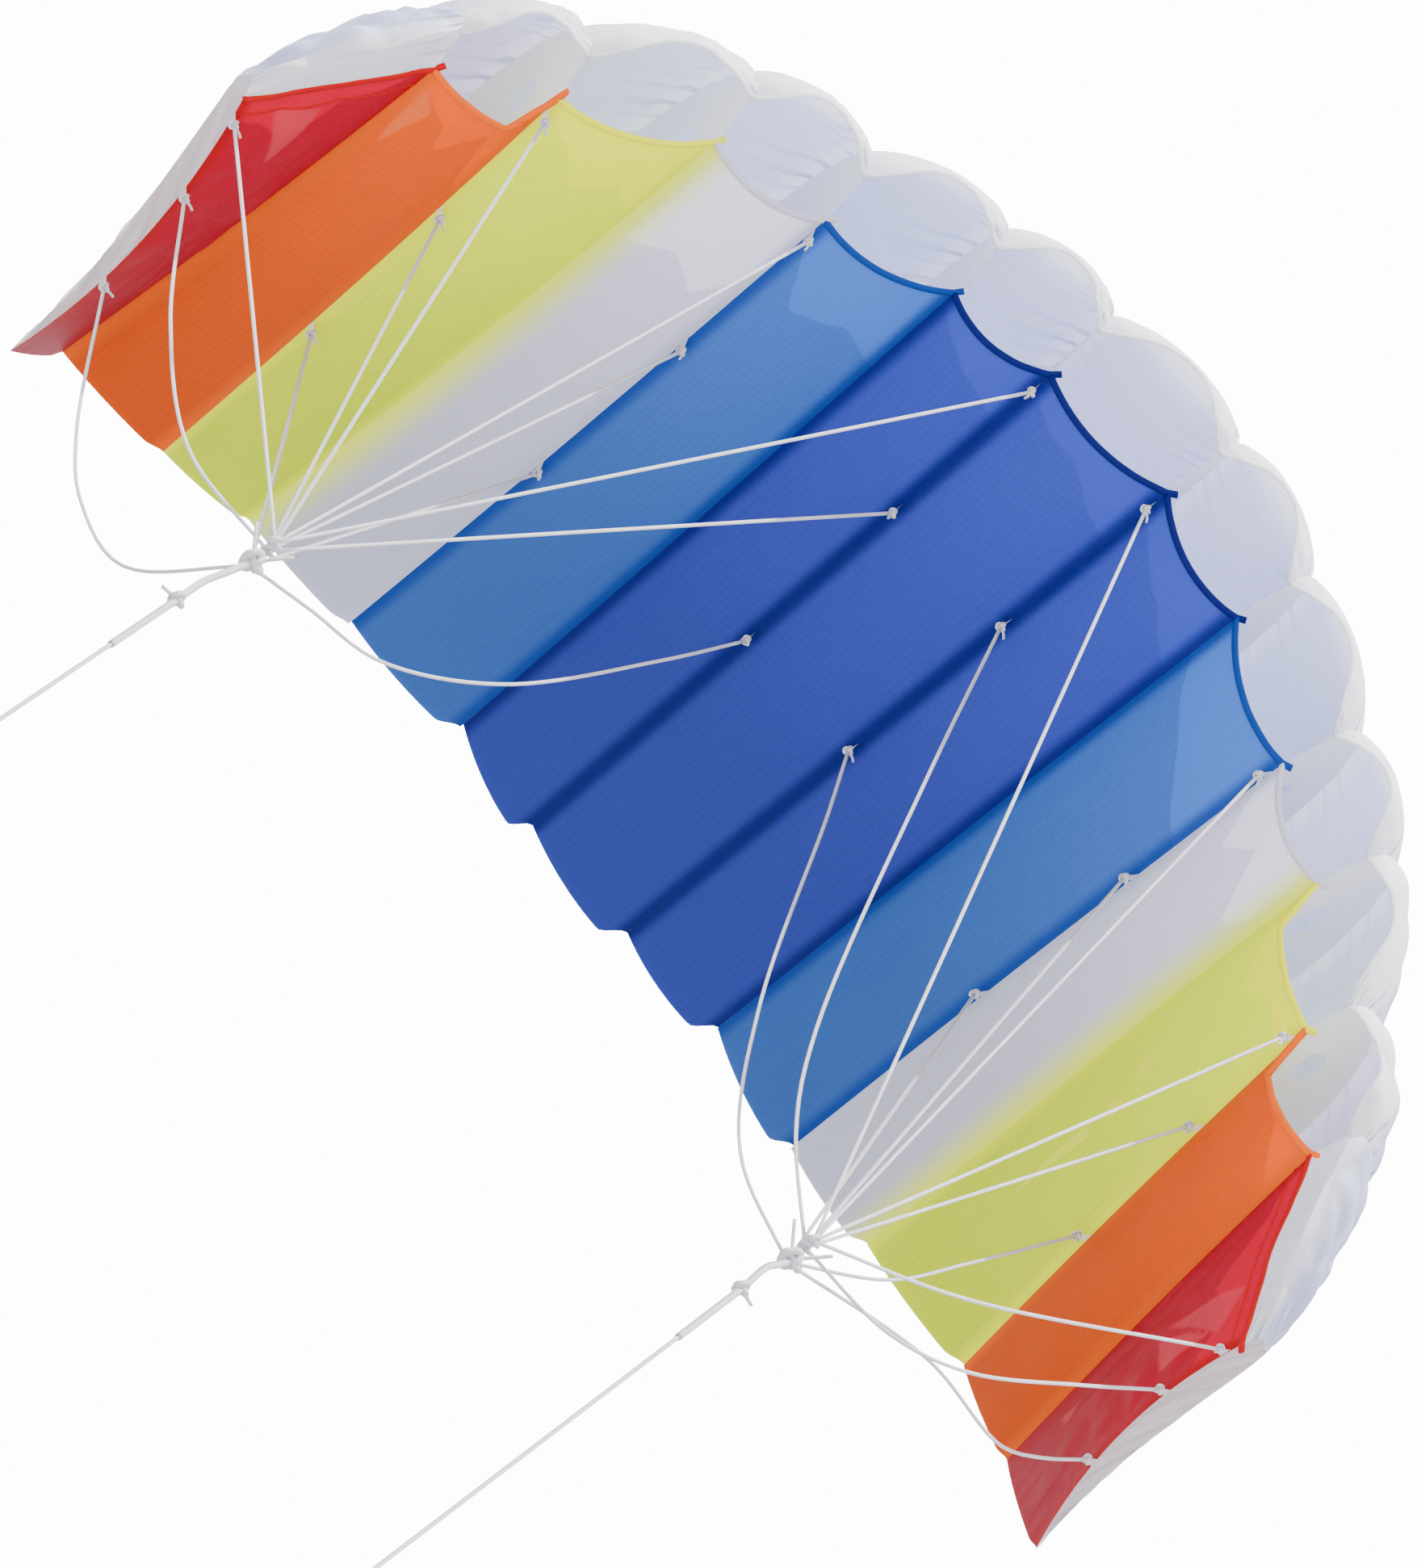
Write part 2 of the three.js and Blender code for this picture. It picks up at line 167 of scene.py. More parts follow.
def tab_setbacks(n):
    """How far behind a rib's front corner each of its three tabs sits."""
    outward = (n - 1) / (TIP_RIB - 1)
    setbacks = {"A": FRONT_TAB}
    for row, (share, gain) in REAR_TABS.items():
        setbacks[row] = RIBS[n][3] / 1000 * (share + gain * outward)
    return setbacks


def tab_end(side, n, row):
    rib = rib_frame(side, n)
    at = tab_setbacks(n)[row] / rib["length"]
    return place(rib, at, lower_edge(at)[1] - LINE_TOP_DROP / rib["length"])


def catmull_rom(four, share):
    """The point that far from the second to the third of four points, on a smooth curve."""
    p0, p1, p2, p3 = four
    gaps = [max(np.linalg.norm(b - a), 1e-9) ** 0.5 for a, b in ((p0, p1), (p1, p2), (p2, p3))]
    t0, t1, t2, t3 = np.cumsum([0, *gaps])
    t = t1 + (t2 - t1) * share
    a1 = p0 + (p1 - p0) * (t - t0) / (t1 - t0)
    a2 = p1 + (p2 - p1) * (t - t1) / (t2 - t1)
    a3 = p2 + (p3 - p2) * (t - t2) / (t3 - t2)
    b1 = a1 + (a2 - a1) * (t - t0) / (t2 - t0)
    b2 = a2 + (a3 - a2) * (t - t1) / (t3 - t1)
    return b1 + (b2 - b1) * (t - t1) / (t2 - t1)


def smooth_path(points, count):
    """count points evenly spaced along a centripetal Catmull-Rom curve through points."""
    points = np.array(points, float)
    ends = [2 * points[0] - points[1], *points, 2 * points[-1] - points[-2]]
    dense = []
    for four in zip(ends, ends[1:], ends[2:], ends[3:]):
        dense += [catmull_rom(four, step / PATH_STEPS) for step in range(PATH_STEPS)]
    dense = np.array([*dense, points[-1]])
    walked = np.concatenate([[0], np.cumsum(np.linalg.norm(np.diff(dense, axis=0), axis=1))])
    steps = np.linspace(0, walked[-1], count)
    return np.stack([np.interp(steps, walked, dense[:, i]) for i in range(3)], axis=1)


class Build:
    """Collects points, faces and a metric uv for each point of one mesh object."""

    def __init__(self):
        self.points, self.faces, self.uvs = [], [], []

    def tube(self, path, radius, sides=10, flat=1.0, across=None):
        """A closed tube along path; radius is one number or one for each point."""
        path = np.array(path, float)
        radii = np.broadcast_to(radius, len(path))
        ahead = np.gradient(path, axis=0)
        ahead /= np.linalg.norm(ahead, axis=1)[:, None]
        guide = vec(*across) if across is not None else vec(*ANY_ACROSS)
        start, along = len(self.points), 0
        for i, (p, d, r) in enumerate(zip(path, ahead, radii)):
            if across is None and i:
                guide = u  # carried from ring to ring, so the tube doesn't twist
            u = guide - d * guide.dot(d)
            u /= np.linalg.norm(u)
            w = np.cross(d, u)
            along += np.linalg.norm(path[i] - path[i - 1]) if i else 0
            for j in range(sides):
                angle = 2 * math.pi * j / sides
                self.points.append(p + r * (math.cos(angle) * u + flat * math.sin(angle) * w))
                self.uvs.append((r * angle, along))
        for i in range(len(path) - 1):
            for j in range(sides):
                a, b = start + i * sides + j, start + i * sides + (j + 1) % sides
                self.faces.append((a, b, b + sides, a + sides))
        last = start + (len(path) - 1) * sides
        self.faces.append(tuple(reversed(range(start, start + sides))))
        self.faces.append(tuple(range(last, last + sides)))

    def grid(self, rows, columns, point, uv, flip=False):
        """A sheet of rows by columns quads through point(s, v), with s and v from 0 to 1."""
        start, stride = len(self.points), columns + 1
        for i in range(rows + 1):
            for j in range(stride):
                self.points.append(point(i / rows, j / columns))
                self.uvs.append(uv(i / rows, j / columns))
        for i in range(rows):
            for j in range(columns):
                a = start + i * stride + j
                quad = (a, a + 1, a + stride + 1, a + stride)
                self.faces.append(quad[::-1] if flip else quad)

    def object(self, name, material, slot):
        mesh = bpy.data.meshes.new(name)
        mesh.from_pydata([tuple(p) for p in self.points], [], self.faces)
        layer = mesh.uv_layers.new(name="metric")
        for loop in mesh.loops:
            layer.data[loop.index].uv = self.uvs[loop.vertex_index]
        mesh.polygons.foreach_set("use_smooth", [True] * len(mesh.polygons))
        mesh.materials.append(material)
        made = bpy.data.objects.new(name, mesh)
        scene_objects.link(made)
        return made


class Shader:
    """A few short ways to wire a node material."""

    def __init__(self, name):
        self.material = bpy.data.materials.new(name)
        self.material.use_nodes = True
        self.tree = self.material.node_tree
        self.bsdf = self.tree.nodes["Principled BSDF"]
        self.output = self.tree.nodes["Material Output"]

    def node(self, kind, **settings):
        made = self.tree.nodes.new(kind)
        for key, value in settings.items():
            if hasattr(made, key):
                setattr(made, key, value)
            else:
                self.put(made.inputs[key.replace("_", " ")], value)
        return made

    def put(self, socket, value):
        if isinstance(value, bpy.types.NodeSocket):
            self.tree.links.new(value, socket)
        else:
            socket.default_value = value

    def math(self, operation, a, b=0.0, clamp=False):
        made = self.node("ShaderNodeMath", operation=operation, use_clamp=clamp)
        self.put(made.inputs[0], a)
        self.put(made.inputs[1], b)
        return made.outputs[0]

    def mix(self, factor, a, b):
        made = self.node("ShaderNodeMix", data_type="RGBA")
        self.put(made.inputs[0], factor)
        self.put(made.inputs[6], a)
        self.put(made.inputs[7], b)
        return made.outputs[2]

    def ramp(self, value, low, high):
        """0 where value is below low, 1 above high, and smooth between."""
        made = self.node("ShaderNodeMapRange", interpolation_type="SMOOTHSTEP")
        self.put(made.inputs["Value"], value)
        self.put(made.inputs["From Min"], low)
        self.put(made.inputs["From Max"], high)
        return made.outputs["Result"]

    def metric(self):
        """The mesh's own uv, in metres, as its two parts."""
        uv = self.node("ShaderNodeUVMap", uv_map="metric")
        parts = self.node("ShaderNodeSeparateXYZ")
        self.put(parts.inputs[0], uv.outputs[0])
        return uv.outputs[0], parts.outputs[0], parts.outputs[1]

    def noise(self, scale, detail=2.0, vector=None):
        made = self.node("ShaderNodeTexNoise")
        made.inputs["Scale"].default_value = scale
        made.inputs["Detail"].default_value = detail
        if vector is None:
            vector = self.node("ShaderNodeTexCoord").outputs["Object"]
        self.put(made.inputs["Vector"], vector)
        return made.outputs["Fac"]

    def bump(self, height, distance, strength=1.0, normal=None):
        made = self.node("ShaderNodeBump")
        self.put(made.inputs["Height"], height)
        made.inputs["Distance"].default_value = distance
        made.inputs["Strength"].default_value = strength
        if normal is not None:
            self.put(made.inputs["Normal"], normal)
        return made.outputs["Normal"]


STRAND_PITCH = 0.0016


def braid_material():
    """Braided white polyester: two sets of strands that cross on a slant round the cord."""
    s = Shader("braided_cord")
    _, around, along = s.metric()
    turns = 2 * math.pi / STRAND_PITCH
    slants = []
    for sign in (1, -1):
        turned = s.math("ADD", s.math("MULTIPLY", along, turns), s.math("MULTIPLY", around, sign * turns))
        slants.append(s.math("SINE", turned))
    strands = s.math("MAXIMUM", *slants)
    # The cord is mixed about halfway to a lilac grey, lighter on the crests of the strands and darker between
    # them: painted shade.
    shade = s.math("ADD", s.math("MULTIPLY", strands, 0.12), 0.5)
    worn = s.noise(60, 3)
    tone = s.mix(worn, (0.80, 0.79, 0.84, 1), (0.90, 0.89, 0.93, 1))
    s.put(s.bsdf.inputs["Base Color"], s.mix(shade, (0.62, 0.60, 0.70, 1), tone))
    s.bsdf.inputs["Roughness"].default_value = 0.6
    s.bsdf.inputs["Sheen Weight"].default_value = 0.25
    s.put(s.bsdf.inputs["Normal"], s.bump(strands, 0.00025))
    return s.material


cord_white = braid_material()


def make_cord(name, path, diameter, body, nodes, exit_point):
    build = Build()
    build.tube(path, diameter / 2)
    made = build.object(name, cord_white, "cord")
    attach(made, body)
    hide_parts(*nodes)
    tuple(exit_point)


for side in SIDES:
    for n in BRIDLED:
        for row, offset in ROW_KNOTS.items():
            top = tab_end(side, n, row)
            knot = vec(*TOW[side]) + vec(*offset)
            bow = [vec(*p) / 1000 for p in BOWS.get(f"{side}_{n}_{row}", [])]
            path = smooth_path([top, *bow, knot], 36)
            make_cord(f"bridle_{side}_{n}_{row}", path, BRIDLE_D, "canopy", [f"bridle_{row}_row_{side}"],
                      top)

# ---------------------------------------------------------------- knots at the tabs and tow points
# Each bridle line ends at its tab in an overhand knot with a short tail. The lines of a row
# share a small knot, and the three rows meet in the fat tow knot.
# Each knot's size and the radius of the cord in it, and the radius of a knot's loose tails
TAB_KNOT = (0.0028, 0.0014)
ROW_KNOT = (0.0042, 0.0017)
TAB_TAIL, TOW_TAIL = 0.0009, 0.0013
TOW_CORD = 0.0026
TOW_TURNS = ((vec(0, 0.2, 1), 0.0078), (vec(0.9, 0.4, 0.5), 0.0062))  # axis and size of each
TOW_ENDS = ((0.012, 0.006, 0.012), (-0.010, 0.012, 0.008))


def knot_path(centre, size, along, count=56):
    """An overhand knot's own line: a trefoil of that size round centre, its axis on along."""
    along = along / np.linalg.norm(along)
    u = np.cross(along, vec(0.31, 0.87, 0.38))
    u /= np.linalg.norm(u)
    w = np.cross(along, u)
    path = []
    for t in np.linspace(0, 2 * math.pi, count):
        x = (math.sin(t) + 2 * math.sin(2 * t)) / 3
        y = (math.cos(t) - 2 * math.cos(2 * t)) / 3
        z = -math.sin(3 * t) / 2.2
        path.append(centre + size * (x * u + y * w + z * along))
    return np.array(path)


for side in SIDES:
    knots = Build()
    for n in BRIDLED:
        for row, offset in ROW_KNOTS.items():
            end = tab_end(side, n, row)
            pull = vec(*TOW[side]) + vec(*offset) - end
            pull /= np.linalg.norm(pull)
            knots.tube(knot_path(end + 0.001 * pull, TAB_KNOT[0], pull), TAB_KNOT[1], 8)
            stray = np.cross(pull, vec(0.2, 0.9, 0.4)) * 0.005 * (-1) ** n
            tail = [end + 0.003 * pull, end + 0.006 * pull + 0.7 * stray, end + 0.011 * pull + stray]
            knots.tube(smooth_path(tail, 8), TAB_TAIL, 8)
    for row, offset in ROW_KNOTS.items():
        centre = vec(*TOW[side]) + vec(*offset)
        knots.tube(knot_path(centre, ROW_KNOT[0], vec(0.2, 0.1, 1)), ROW_KNOT[1], 8)
    knotted = knots.object(f"bridle_knots_{side}", cord_white, "cord")
    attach(knotted, "canopy")

    tow = Build()
    for tilt, size in TOW_TURNS:
        tow.tube(knot_path(vec(*TOW[side]), size, tilt, count=72), TOW_CORD, 10)
    for end in TOW_ENDS:
        loop = [vec(*TOW[side]), vec(*TOW[side]) + vec(*end) * 0.8, vec(*TOW[side]) + vec(*end) * 1.5]
        tow.tube(smooth_path(loop, 8), TOW_TAIL, 8)
    knot = tow.object(f"tow_knot_{side}_cord", cord_white, "cord")
    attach(knot, "canopy")
    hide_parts(f"tow_knot_{side}")

# ---------------------------------------------------------------- pigtails, flying lines and loops
# Below each tow knot a doubled pigtail ends in a stopper knot; the flying line starts there as
# a sleeved double cord, runs on single and ends in a loop that the rest of the line hooks to.
LEAN = {"right": 0, "left": 0.035}  # how far each line slants inwards for its length
REST_KNOT = (0.277, 0.09, -0.66)  # the place that all drops below are measured from
STOPPER_DROP = 0.075
LINE_DROP = 0.6405  # lower end of the single line
DOUBLED_D, LINE_D = 0.005, 0.003
LOOP_HALF_WIDTH, LOOP_HALF_LENGTH = 0.0075, 0.026
LOOP_TAPER = 0.35  # how much narrower the loop is at its top

for side, s in SIDES.items():
    anchor = vec(s * REST_KNOT[0], *REST_KNOT[1:])

    def below(drop):
        return anchor + vec(LEAN[side] * max(0, drop - STOPPER_DROP), 0, -drop)

    tow = vec(*TOW[side])
    stopper = Build()
    stopper.tube(knot_path(below(STOPPER_DROP), 0.0048, vec(0.1, 0, 1)), 0.0022, 8)
    tail = [below(STOPPER_DROP), below(0.077) + vec(s * 0.006, 0, 0), below(0.080) + vec(s * 0.012, 0.001, 0)]
    stopper.tube(smooth_path(tail, 10), 0.0013, 8)
    stopper = stopper.object(f"stopper_{side}_cord", cord_white, "cord")
    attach(stopper, f"pigtail_{side}")
    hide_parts(f"stopper_knot_{side}")

    path = smooth_path([tow + vec(0, 0, -0.004), (tow + below(0.02)) / 2 + vec(0, 0, -0.012), below(0.04),
                        below(0.0735)], 24)
    make_cord(f"pigtail_{side}_cord", path, DOUBLED_D, f"pigtail_{side}", [f"pigtail_{side}"],
              path[0])
    path = smooth_path([below(0.0765), below(0.12), below(0.1605)], 24)
    make_cord(f"doubled_line_{side}_cord", path, DOUBLED_D, f"line_{side}", [f"doubled_line_{side}"],
              path[0])

    loop = Build()
    ring = []
    for t in np.linspace(0, 2 * math.pi, 49):
        drop = 0.6404 + LOOP_HALF_LENGTH * (1 - math.cos(t))
        out = LOOP_HALF_WIDTH * math.sin(t) * (1 - LOOP_TAPER * math.cos(t))
        ring.append(below(drop) + vec(out, 0, 0))
    loop.tube(ring, 0.0015, 10, across=(0, 1, 0))
    loop.tube(knot_path(below(0.643), 0.0042, vec(0, 0, 1)), 0.0016, 8)
    loop = loop.object(f"line_loop_{side}_cord", cord_white, "cord")
    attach(loop, f"line_{side}")
    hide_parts(f"line_loop_{side}")
    path = smooth_path([below(0.158), below(0.4), below(LINE_DROP)], 30)
    make_cord(f"flying_line_{side}_cord", path, LINE_D, f"line_{side}", [f"flying_line_{side}"],
              path[0])

# ---------------------------------------------------------------- ribs
# Fourteen upright profiles of white ripstop, one between each pair of cells. Round-ended vents
# let air pass from cell to cell, and every other rib carries three webbing tabs for the bridle.
TOP_EDGE = [
    (-0.068, 0.028), (-0.08, 0.055), (-0.066, 0.086), (-0.02, 0.119), (0.06, 0.148), (0.17, 0.164),
    (0.3, 0.162), (0.45, 0.142), (0.6, 0.111), (0.75, 0.074), (0.88, 0.039), (1, 0.001),
]
VENTS = (0.09, 0.27, 0.46)
VENT_HALF_LENGTH, VENT_HALF_HEIGHT = 0.036, 0.020
TAB_WIDTH, TAB_LENGTH = 0.008, 0.0085
WHITE = (1, 1, 1, 1)
GRID_HALF_PITCH = 0.0028  # between the thicker threads of the ripstop grid, halved
THREAD_PITCH = 0.0007
RIB_MESH_STEP = 0.018  # spacing of the points inside a rib, as a share of its chord
RIPPLE = {True: 0.004, False: 0.0016}  # how far a tip rib's cloth ripples, and another rib's


def upper_edge(s, nose=1):
    """The rib's upper edge from the lip of the intake round the nose to the tail, s from 0 to 1."""
    at = s * (len(TOP_EDGE) - 1)
    i = min(int(at), len(TOP_EDGE) - 2)
    knots = [vec(*p) for p in TOP_EDGE]
    knots = [2 * knots[0] - knots[1], *knots, 2 * knots[-1] - knots[-2]]
    a, h = catmull_rom(knots[i:i + 4], at - i)
    return (a * nose if a < 0 else a), h


def tinted(colour, gain, lift=0.0):
    """A colour made brighter or darker, none of its parts above 1."""
    return [min(1, c * gain + lift) for c in colour[:3]] + [1]


def ripstop(name, colour, deep, clear=0.4, bleed=None, sunny=1.0, puckered=None):
    """Ripstop nylon: a plain weave with a grid of thicker threads, which light shines through.
    deep is its colour where the cloth is doubled at a seam, darker on the blues and the grey as painted
    shade of two layers against the light; bleed a colour laid over part of it, as a painted glow of the
    yellow next door on a white panel in shade and as the plain white of a top skin's nose strip against its
    painted shade; puckered the painted shade in its gathers, clear the share of light that passes through,
    and sunny how much brighter it is, as painted light, where daylight from the intake falls on its inner
    side."""
    s = Shader(name)
    metric, across, along = s.metric()
    grid = None
    for part in (across, along):
        cell = s.math("PINGPONG", part, GRID_HALF_PITCH)
        line = s.ramp(cell, 0.00040, 0.00012)
        grid = line if grid is None else s.math("MAXIMUM", grid, line)
    turns = 2 * math.pi / THREAD_PITCH
    weave = [s.math("SINE", s.math("MULTIPLY", part, turns)) for part in (across, along)]
    weave = s.math("MULTIPLY", *weave)
    edge = s.node("ShaderNodeAttribute", attribute_name="edge").outputs["Fac"]
    doubled = s.ramp(edge, 0.012, 0.002)
    patches = s.noise(9, 3)
    tone = s.mix(patches, tinted(colour, 0.93), tinted(colour, 1.05))
    tone = s.mix(s.math("MULTIPLY", grid, 0.22), tone, tinted(colour, 0.72))
    # Painted light: brighter where daylight from the intake falls on the inner side, a painted shade from
    # bright at the front to darker aft, and painted highlights on the folds that catch the light.
    if sunny > 1:
        sunlit = s.node("ShaderNodeAttribute", attribute_name="sunlit").outputs["Fac"]
        ragged = s.math("MULTIPLY", s.math("SUBTRACT", s.noise(26, 2), 0.5), 0.012)
        sunlit = s.math("MULTIPLY", s.ramp(s.math("ADD", sunlit, ragged), -0.0015, 0.0025), 0.85)
        tone = s.mix(sunlit, tone, tinted(colour, sunny))
        shade = s.mix(s.ramp(along, 0.0, 0.42), (1.18, 1.18, 1.2, 1), (0.84, 0.85, 0.84, 1))
        aft = s.node("ShaderNodeMix", data_type="RGBA", blend_type="MULTIPLY")
        for socket, value in zip((0, 6, 7), (1.0, tone, shade)):
            s.put(aft.inputs[socket], value)
        tone = aft.outputs[2]
        folded = s.node("ShaderNodeAttribute", attribute_name="folded").outputs["Fac"]
        folded = s.ramp(folded, -0.006, 0.012)
        tone = s.mix(s.math("MULTIPLY", folded, 0.7), tone, tinted(colour, 1.5, 0.05))
    # Doubled cloth at the seams: on the dark cloths its deeper colour is painted shade of two layers against
    # the light.
    tone = s.mix(s.math("MULTIPLY", doubled, 0.85), tone, deep)
    # Colour laid over the tone: a painted glow of the yellow next door, or the white of a top skin's nose
    # strip.
    if bleed:
        over = s.node("ShaderNodeAttribute", attribute_name="bleed").outputs["Fac"]
        tone = s.mix(s.math("MULTIPLY", over, 0.9), tone, bleed)
    s.bsdf.inputs["Roughness"].default_value = 0.5
    s.bsdf.inputs["Specular IOR Level"].default_value = 0.12
    stretched = s.node("ShaderNodeVectorMath", operation="MULTIPLY")
    s.put(stretched.inputs[0], metric)
    stretched.inputs[1].default_value = (70, 9, 1)
    creases = s.noise(1, 4, stretched.outputs[0])
    bump = s.bump(creases, 0.0022, 0.55)
    if puckered:
        gathered = s.node("ShaderNodeVectorMath", operation="MULTIPLY")
        s.put(gathered.inputs[0], metric)
        gathered.inputs[1].default_value = (9, 78, 1)
        near = s.node("ShaderNodeAttribute", attribute_name="pucker").outputs["Fac"]
        # The gathers are darkened with painted shade as well as bumped.
        pleats = s.math("MULTIPLY", s.ramp(s.noise(1, 2, gathered.outputs[0]), 0.50, 0.68), near)
        tone = s.mix(s.math("MULTIPLY", pleats, 0.95), tone, puckered)
        bump = s.bump(pleats, 0.004, 0.5, bump)
    bump = s.bump(grid, 0.00012, 0.6, bump)
    bump = s.bump(weave, 0.00003, 0.5, bump)
    s.put(s.bsdf.inputs["Normal"], bump)
    s.put(s.bsdf.inputs["Base Color"], tone)
    through = s.node("ShaderNodeBsdfTranslucent")
    s.put(through.inputs["Color"], tone)
    s.put(through.inputs["Normal"], bump)
    mixed = s.node("ShaderNodeMixShader")
    mixed.inputs[0].default_value = clear
    s.put(mixed.inputs[1], s.bsdf.outputs[0])
    s.put(mixed.inputs[2], through.outputs[0])
    s.put(s.output.inputs["Surface"], mixed.outputs[0])
    return s.material


white_cloth = ripstop("white_ripstop", WHITE, (0.97, 0.97, 0.99, 1), 0.55)


def rib_outline(side, n):
    """The rim of a rib in shares of its chord, lower edge first, with its tabs."""
    length = rib_frame(side, n)["length"]
    nose = TIP_NOSE_SHARE if n == TIP_RIB else 1
    lower = [lower_edge(s) for s in np.linspace(0, 1, 49)]
    if n in BRIDLED:
        half, drop = TAB_WIDTH / 2 / length, TAB_LENGTH / length
        for setback in tab_setbacks(n).values():
            at = setback / length
            h = lower_edge(at)[1]
            lower = [p for p in lower if abs(p[0] - at) > half]
            foot = 0.6 * half
            lower += [(at - half, h), (at - foot, h - drop), (at + foot, h - drop), (at + half, h)]
        lower.sort(key=lambda p: p[0])
    upper = [upper_edge(s, nose) for s in np.linspace(1, 0, 67)]
    return lower, upper


def vent_rims(n):
    """The round-cornered vents of a rib; the tip ribs have none."""
    rims = []
    for at in VENTS if n != TIP_RIB else ():
        middle = 0.052 + 0.024 * math.sin(math.pi * min(1, 2.2 * at))
        rim = []
        for angle in np.linspace(0, 2 * math.pi, 28, endpoint=False):
            c, d = math.cos(angle), math.sin(angle)
            rim.append((at + VENT_HALF_LENGTH * math.copysign(abs(c) ** 0.7, c),
                        middle + VENT_HALF_HEIGHT * math.copysign(abs(d) ** 0.8, d)))
        rims.append(rim)
    return rims


def inside(point, rim):
    """Whether a point lies inside a closed rim, by counting the edges it has to one side."""
    x, y = point
    odd = False
    for (x0, y0), (x1, y1) in zip(rim, rim[1:] + rim[:1]):
        if (y0 > y) != (y1 > y) and x < x0 + (y - y0) * (x1 - x0) / (y1 - y0):
            odd = not odd
    return odd


def make_rib(side, n):
    """Fills a rib's rim with a mesh of triangles, leaves its vents open and ripples the cloth."""
    rib = rib_frame(side, n)
    lower, upper = rib_outline(side, n)
    rim = lower + upper
    rims = [rim, *vent_rims(n)]
    points, edges = [], []
    for ring in rims:
        start = len(points)
        points += ring
        edges += [(start + i, start + (i + 1) % len(ring)) for i in range(len(ring))]
    on_rims = list(points)
    for a in np.arange(-0.07, 0.98, RIB_MESH_STEP):
        for h in np.arange(0.005, 0.16, RIB_MESH_STEP):
            nearest = min((a - x) ** 2 + (h - y) ** 2 for x, y in on_rims)
            clear = nearest > 0.009 ** 2
            if clear and inside((a, h), rim) and not any(inside((a, h), r) for r in rims[1:]):
                points.append((a, h))
    flat, _, triangles, *_ = geometry.delaunay_2d_cdt([Vector(p) for p in points], edges, [], 1, 1e-7)
    build = Build()
    sideways = np.cross(rib["chord"], rib["up"])
    sideways /= np.linalg.norm(sideways)
    for a, h in flat:
        rim_gap = min(h + 0.008, 0.16 - h, 0.05) * rib["length"]
        at = Vector((a * 22 + h * 30, h * 9, 3.1 * n + SIDES[side]))
        ripple = RIPPLE[n == TIP_RIB] * noise.noise(at)
        build.points.append(place(rib, a, h) + sideways * ripple * min(1, max(0, rim_gap) / 0.008))
        build.uvs.append((h * rib["length"], a * rib["length"]))
    for triangle in triangles:
        middle = np.mean([flat[i] for i in triangle], axis=0)
        if not any(inside(middle, r) for r in rims[1:]):
            build.faces.append(tuple(triangle)[::SIDES[side]])
    made = build.object(f"rib_{side}_{n}_cloth", white_cloth, "white")
    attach(made, "canopy")
    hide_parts(f"rib_{side}_{n}")
    length, height = 1.08 * rib["length"], 0.17 * np.linalg.norm(rib["up"])


for side in SIDES:
    for n in RIBS:
        make_rib(side, n)

# ---------------------------------------------------------------- top skins
# White ripstop gores, cut wider than the cells so that they billow, and sewn to the ribs on
# both sides. They curl round the nose and end in a bound lip above the intake.
TOP_BILLOW, BOTTOM_BILLOW = 0.017, 0.010
TOP_ROUND = 1.22  # a top panel's length in chords, since it goes round the nose
LIP_RADIUS = 0.0015
NOSE_WHITE = (0.97, 0.965, 1.0, 1)  # the strip round the nose is lighter than the rest
# The white top skin is tinted a bluish lilac: painted shade of the insides of the cells. Its strip round the
# nose keeps the white of the cloth, and its gathers are darkened with painted shade.
shade_tinted_white = ripstop("sky_white_ripstop", (0.57, 0.615, 0.90, 1), (0.70, 0.73, 0.93, 1), 0.26, NOSE_WHITE, 1,
                    (0.30, 0.34, 0.62, 1))
LIP_CUT = 0.10  # how far the lip of the intake is cut back in mid cell, as a share of the edge
CLOSED = ("right_6", "left_6")
CLOSURE = 0.09  # share of a tip cell's top skin that runs on from the lip to the hem
# How far a front hem is set back where it sags most, and where across the cell that is
HEM_SAG = {"right_5": (0.036, 0.14), "left_4": (0.034, 0.13), "left_5": (0.044, 0.09),
           "right_6": (0.0, 0.5), "left_6": (0.004, 0.5)}
HEM_SETBACK = 0.008  # the same for a hem that doesn't sag
# How far a panel's tail is pushed aft and forward, from one side of the cell to the other
TAIL_SWAY = {"centre": 0.008, "right_1": 0.008, "left_1": 0.008, "right_2": 0.005, "left_2": 0.007,
             "left_3": 0.004, "left_4": 0.003}
# How far a cell's cloth crumples, from the centre cells to the tips
SLACK = {1: 0.0005, 2: 0.0006, 3: 0.0008, 4: 0.0020, 5: 0.0036, 6: 0.0075}


def bulge(v):
    """A parabola, 0 at both sides of a cell and 1 in the middle."""
    return 4 * v * (1 - v)


def smooth(x):
    """0 up to x = 0, 1 from x = 1 on, and a smooth step between."""
    x = min(1, max(0, x))
    return x * x * (3 - 2 * x)


def hem_line(key):
    """How far a panel's front hem is set back across the cell."""
    depth, peak = HEM_SAG.get(key, (HEM_SETBACK, 0.5))

    def setback(v):
        part = v / peak if v < peak else (1 - v) / (1 - peak)
        return depth * (part ** (1.0 if v < peak else 0.88) if key in HEM_SAG else bulge(v))

    return setback


